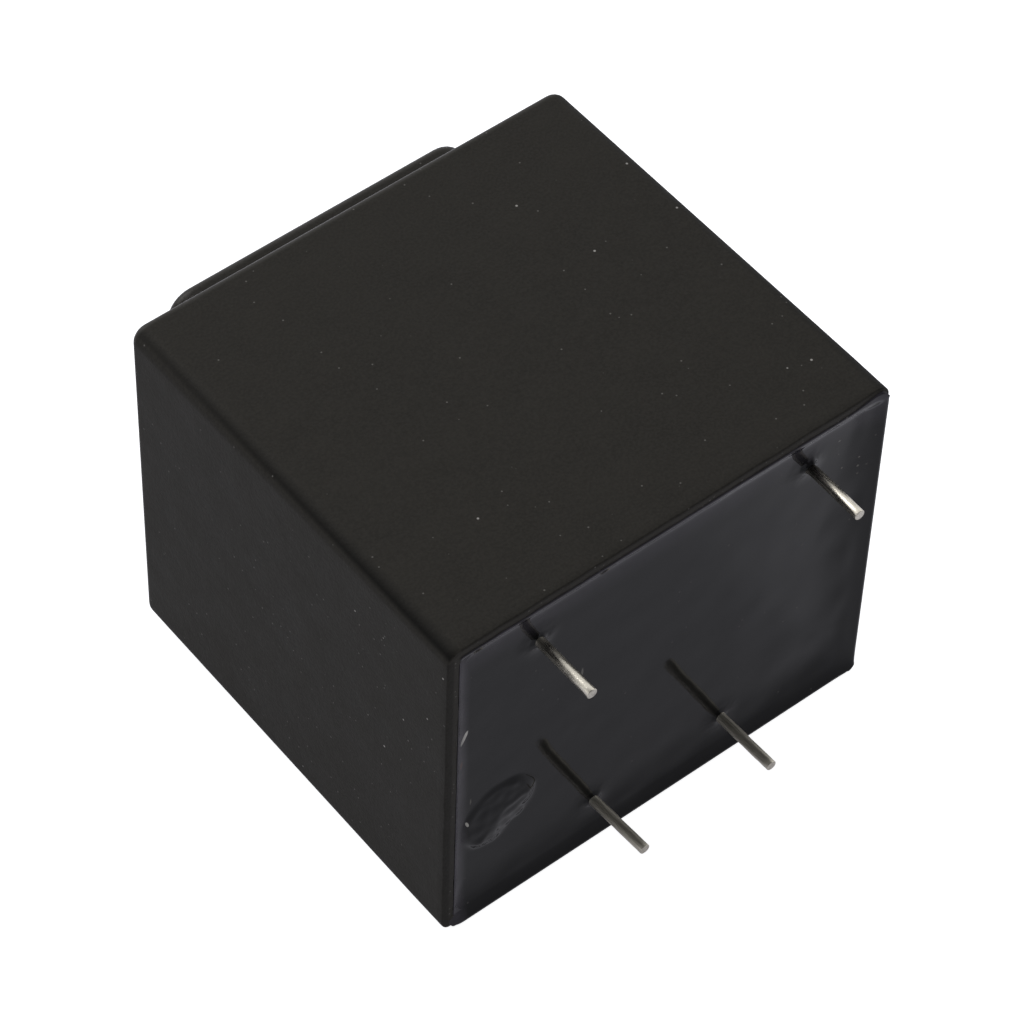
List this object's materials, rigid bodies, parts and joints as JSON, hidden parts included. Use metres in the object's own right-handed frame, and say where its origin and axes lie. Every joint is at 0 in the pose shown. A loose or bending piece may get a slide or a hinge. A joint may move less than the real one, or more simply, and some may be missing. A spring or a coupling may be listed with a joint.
{
  "type": "pcb transformer",
  "caption": "Potted mains transformer for a circuit board: black moulded cup with a raised coil dome, glossy resin face and straight round solder pins.",
  "frame": {"origin": "on the seating plane, which is the rim of the case, midway between the two pin rows and midway along them", "axes": "-Y along the pins, away from the seating plane; +X along the pin rows; +Z towards the broad wall beside the primary row, with the part lying on its other broad wall"},
  "size_m": [0.0325, 0.0386, 0.0274],
  "materials": {
    "case": "fine matte moulded texture",
    "resin": "glossy cast resin",
    "bobbin": "moulded, satin",
    "core_steel": "oxide-coated electrical steel",
    "copper": "enamelled copper",
    "tape": "polyester tape",
    "tinned_pin": "bright tin plating, drawn",
    "solder": "satin solder"
  },
  "bodies": {
    "root": {"case": "case", "potting": "resin", "bobbin": "bobbin", "e_laminations": "core_steel", "i_laminations": "core_steel", "primary_winding": "copper", "secondary_winding": "copper", "primary_tape": "tape", "secondary_tape": "tape", "primary_pin_1": "tinned_pin", "primary_lead_1": "copper", "primary_solder_1": "solder", "primary_pin_2": "tinned_pin", "primary_lead_2": "copper", "primary_solder_2": "solder", "secondary_pin_1": "tinned_pin", "secondary_lead_1": "copper", "secondary_solder_1": "solder", "secondary_pin_2": "tinned_pin", "secondary_lead_2": "copper", "secondary_solder_2": "solder"}
  },
  "joints": []
}
